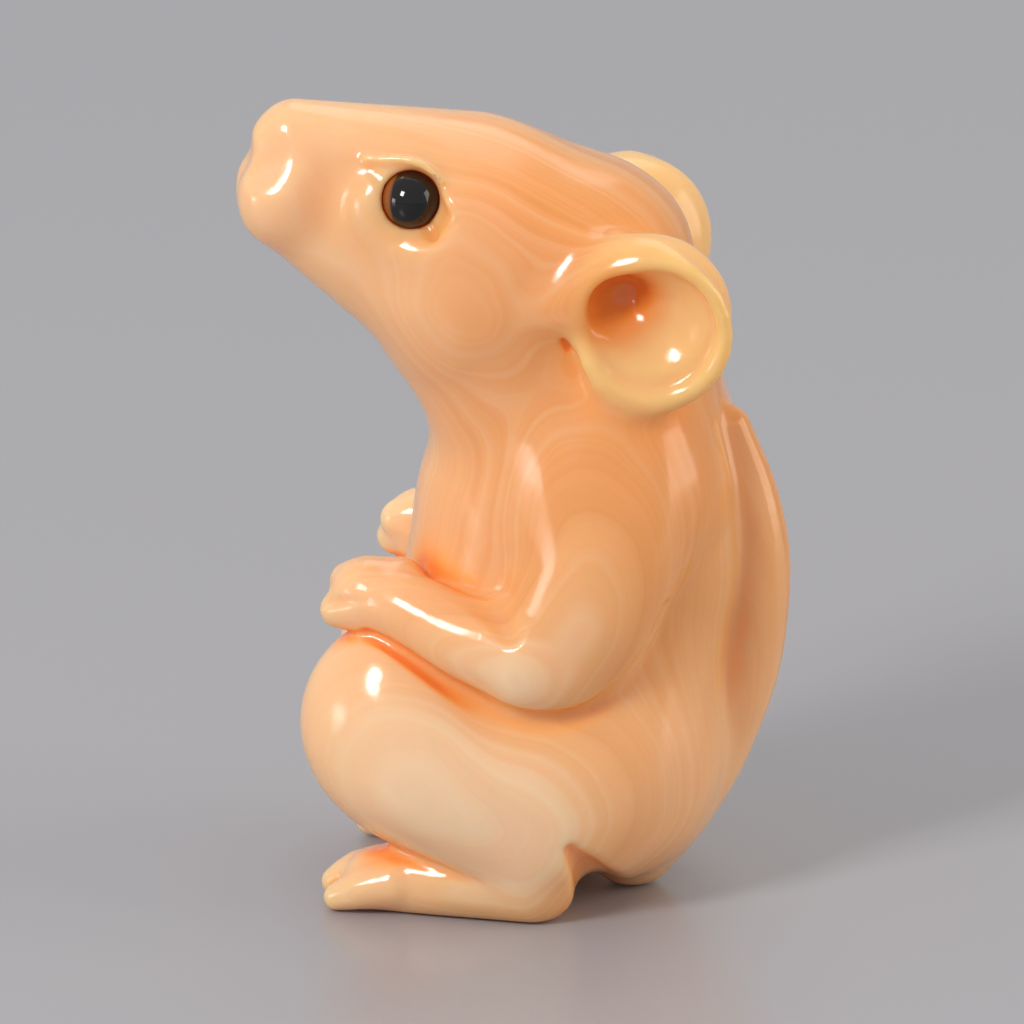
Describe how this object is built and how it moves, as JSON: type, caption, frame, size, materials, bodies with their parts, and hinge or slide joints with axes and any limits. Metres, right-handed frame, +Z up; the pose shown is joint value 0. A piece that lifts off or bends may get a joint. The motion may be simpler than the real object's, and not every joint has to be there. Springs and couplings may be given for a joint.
{
  "type": "carved shell rat figurine",
  "caption": "Small rat carved from one piece of banded peach shell, sitting up on its haunches with its tail up its back and inlaid black bead eyes.",
  "frame": {"origin": "on the ground under the middle of the figure's bounding box", "axes": "+Z up; the rat faces -Y, and its left side is +X"},
  "size_m": [0.0145, 0.0199, 0.03],
  "materials": {
    "shell": "polished banded shell, glossy and slightly translucent",
    "bead": "glossy opaque black"
  },
  "bodies": {
    "root": {"rat_body": "shell", "eye_left": "bead", "eye_right": "bead"}
  },
  "joints": []
}
